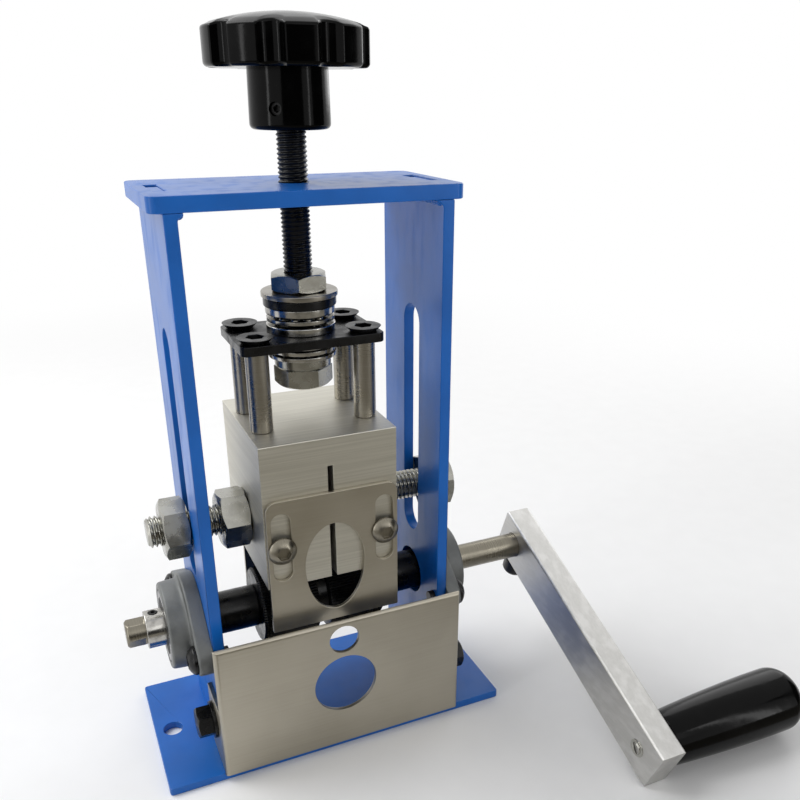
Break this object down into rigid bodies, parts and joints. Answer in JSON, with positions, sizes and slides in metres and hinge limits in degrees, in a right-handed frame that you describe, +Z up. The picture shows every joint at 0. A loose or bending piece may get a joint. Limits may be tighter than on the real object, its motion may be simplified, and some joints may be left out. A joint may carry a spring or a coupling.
{
  "type": "hand-cranked wire stripper",
  "caption": "Bench wire stripper: a hand crank turns a feed roller under a disc blade in a block that a star-knob screw raises and lowers in a welded frame.",
  "frame": {"origin": "on the base plate's underside, midway between the bench holes, under the drive shaft and the pressure screw's axis", "axes": "+X along the drive shaft to the crank side, -Y to the guard and wire inlet side, +Z up along the pressure screw"},
  "size_m": [0.2947, 0.1703, 0.316],
  "materials": {
    "frame_paint": "semi-gloss blue enamel",
    "guard_stainless": "satin stainless sheet",
    "block_aluminium": "sawn and linished aluminium, grain along the shaft",
    "arm_aluminium": "extruded flat bar, fine drawn lines",
    "turned_steel": "bright drawn steel",
    "polished_steel": "ground and polished bearing steel",
    "zinc_steel": "zinc plated",
    "black_oxide": "black oxide with oil sheen",
    "housing_grey": "satin cast grey",
    "seal_rubber": "black rubber",
    "knob_plastic": "gloss black moulded plastic"
  },
  "bodies": {
    "frame": {"base_plate": "frame_paint", "side_plate_left": "frame_paint", "side_plate_right": "frame_paint", "top_plate": "frame_paint", "front_guard": "guard_stainless", "guard_bolts": "black_oxide", "guard_washers": "black_oxide", "bearing_housing_left": "housing_grey", "bearing_housing_right": "housing_grey", "flange_screws": "black_oxide", "bearing_outer_rings": "polished_steel", "bearing_balls": "polished_steel", "bearing_seals": "seal_rubber"},
    "drive": {"drive_shaft": "turned_steel", "feed_roller": "black_oxide", "sleeve_left": "black_oxide", "sleeve_right": "black_oxide", "bearing_inner_rings": "polished_steel", "ring_set_screw": "black_oxide", "crank_arm": "arm_aluminium", "clamp_screw": "black_oxide", "handle_bolt": "zinc_steel"},
    "handle": {"handle_grip": "knob_plastic"},
    "carriage": {"blade_block": "block_aluminium", "cross_bolt": "zinc_steel", "inner_nut": "zinc_steel", "outer_nut": "zinc_steel", "guide_screws": "turned_steel", "rear_guide_plate": "guard_stainless", "rear_guide_screws": "turned_steel", "posts": "turned_steel", "retainer_plate": "black_oxide", "countersunk_screws": "black_oxide", "thrust_races_fixed": "polished_steel", "thrust_cages": "polished_steel", "thrust_balls": "polished_steel"},
    "blade": {"blade_disc": "polished_steel"},
    "guide": {"guide_plate": "guard_stainless"},
    "screw": {"pressure_screw": "black_oxide", "thrust_races_turning": "polished_steel", "spacer_ring": "black_oxide", "large_washer": "turned_steel", "lock_nut": "zinc_steel", "star_knob": "knob_plastic", "knob_insert": "zinc_steel", "knob_grub_screw": "black_oxide"}
  },
  "joints": [
    {"name": "crank_spin", "type": "hinge", "parent": "frame", "child": "drive", "pos_m": [0, 0, 0.0636], "axis": [1, 0, 0], "continuous": true},
    {"name": "handle_spin", "type": "hinge", "parent": "drive", "child": "handle", "pos_m": [0.1265, -0.11524, 0.01727], "axis": [1, 0, 0], "continuous": true},
    {"name": "carriage_slide", "type": "slide", "parent": "frame", "child": "carriage", "axis": [0, 0, 1], "range_m": [-0.004, 0.029]},
    {"name": "screw_turn", "type": "hinge", "parent": "carriage", "child": "screw", "pos_m": [0, 0, 0.2], "axis": [0, 0, 1], "range_deg": [-822, 5965]},
    {"name": "blade_spin", "type": "hinge", "parent": "carriage", "child": "blade", "pos_m": [0, 0, 0.1127], "axis": [1, 0, 0], "continuous": true},
    {"name": "guide_slide", "type": "slide", "parent": "carriage", "child": "guide", "axis": [0, 0, 1], "range_m": [-0.0133, 0.0108]}
  ],
  "couplings": [
    {"joint": "carriage_slide", "follows": "screw_turn", "m_per_rad": 0.00027852}
  ]
}
